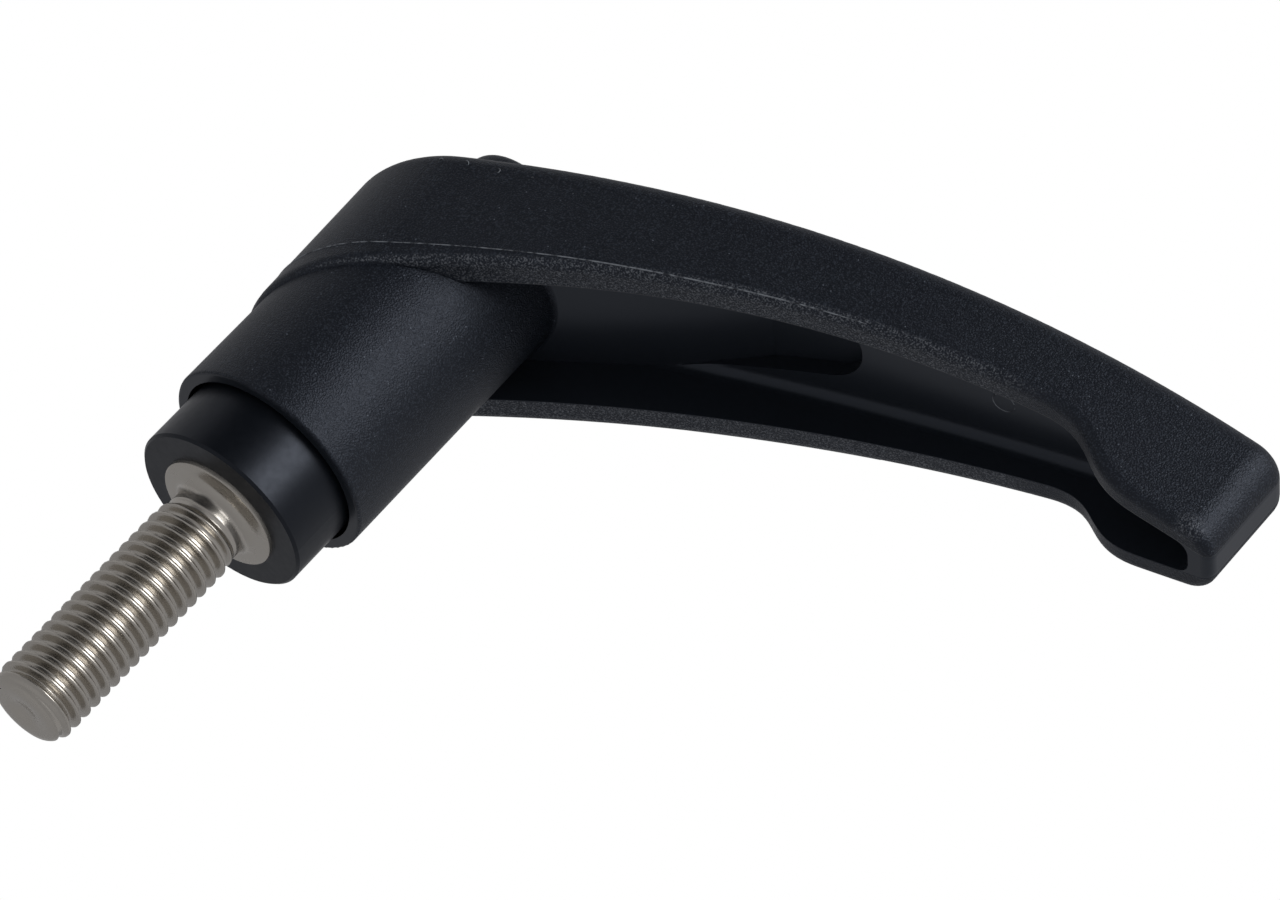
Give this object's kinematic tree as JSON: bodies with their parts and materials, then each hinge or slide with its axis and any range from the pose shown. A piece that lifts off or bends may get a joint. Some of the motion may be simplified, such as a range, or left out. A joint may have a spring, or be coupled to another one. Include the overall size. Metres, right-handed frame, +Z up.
{
  "type": "adjustable clamping lever",
  "caption": "Clamping lever with a hollow moulded arm on a toothed hub and a threaded stud; the handle lifts against a spring and re-indexes.",
  "frame": {"origin": "centre of the steel clamping face, where the stud axis meets the face that seats on the clamped part", "axes": "+Z up the hub axis away from the stud, +X from the hub to the finger tip, +Y across the arm"},
  "size_m": [0.0856, 0.022, 0.0761],
  "materials": {
    "black_nylon": "fine-grained glass-filled nylon, moulded",
    "black_zinc": "black coated zinc casting, smooth",
    "stainless_steel": "turned and rolled stainless steel",
    "screw_steel": "black oxide",
    "spring_steel": "drawn stainless spring wire"
  },
  "bodies": {
    "base": {"threaded_stud": "stainless_steel", "hub_insert": "black_zinc", "retaining_screw": "screw_steel"},
    "spring_stage": {"return_spring": "spring_steel"},
    "lever": {"lever_handle": "black_nylon"}
  },
  "joints": [
    {"name": "lift", "type": "slide", "parent": "base", "child": "spring_stage", "axis": [0, 0, 1], "range_m": [0, 0.004], "stiffness_N_per_m": 1500, "springref_m": -0.004, "deforming": ["return_spring"]},
    {"name": "swivel", "type": "hinge", "parent": "spring_stage", "child": "lever", "pos_m": [0, 0, 0], "axis": [0, 0, 1], "continuous": true}
  ]
}
